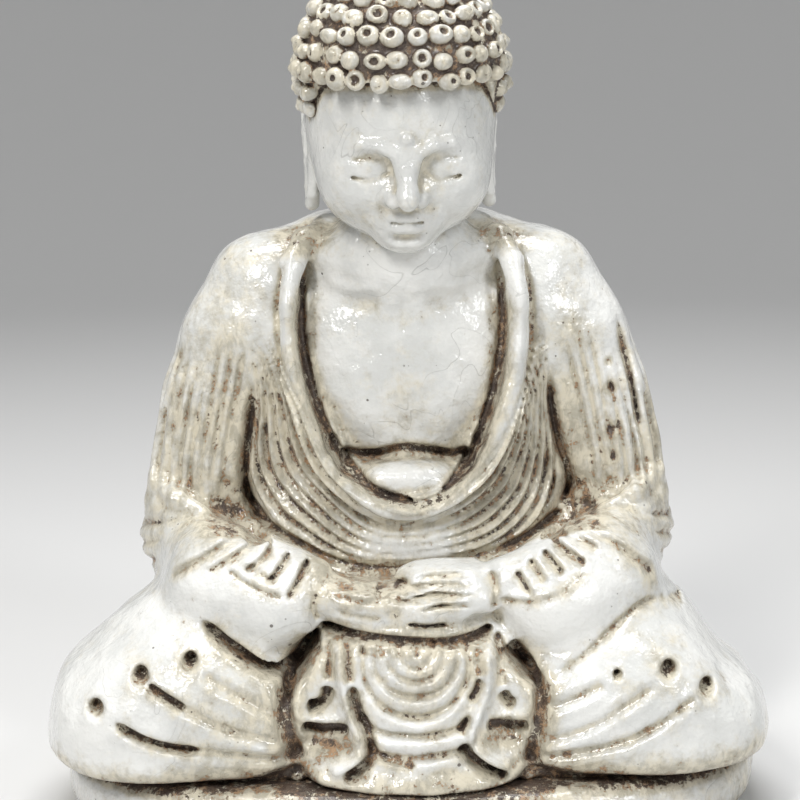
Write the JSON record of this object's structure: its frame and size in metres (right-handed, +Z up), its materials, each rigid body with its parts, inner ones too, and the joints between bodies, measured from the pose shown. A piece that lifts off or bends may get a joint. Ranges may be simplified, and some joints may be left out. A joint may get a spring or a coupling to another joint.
{
  "type": "seated buddha statue",
  "caption": "Seated meditating figure with curled hair and a draped robe, hands laid together in the lap, on a low oval plinth with a soft flat underside.",
  "frame": {"origin": "middle of the footprint, on the surface that the felt underside rests on", "axes": "+Z up through the crown, +X towards the figure's own left knee, and the figure faces -Y"},
  "size_m": [0.1654, 0.112, 0.2077],
  "materials": {
    "figure_glaze": "gloss, ivory white with brown stain in the recesses",
    "hair_glaze": "gloss, ivory curls with dark brown stain between them",
    "plinth_glaze": "gloss, ivory with a brown edge",
    "felt": "felt",
    "dowel_wood": "bare wood"
  },
  "bodies": {
    "root": {"felt_pad": "felt", "base_plinth": "plinth_glaze", "seat_dowel_1": "dowel_wood", "seat_dowel_2": "dowel_wood", "neck_dowel": "dowel_wood", "hand_right": "figure_glaze", "hand_left": "figure_glaze", "apron": "figure_glaze", "lap": "figure_glaze", "sleeve_right": "figure_glaze", "arm_right": "figure_glaze", "leg_right": "figure_glaze", "sleeve_left": "figure_glaze", "arm_left": "figure_glaze", "leg_left": "figure_glaze", "robe_collar": "figure_glaze", "chest": "figure_glaze", "under_sash": "figure_glaze", "robe_body": "figure_glaze", "head": "figure_glaze", "hair_cap": "hair_glaze", "ushnisha": "hair_glaze"}
  },
  "joints": []
}
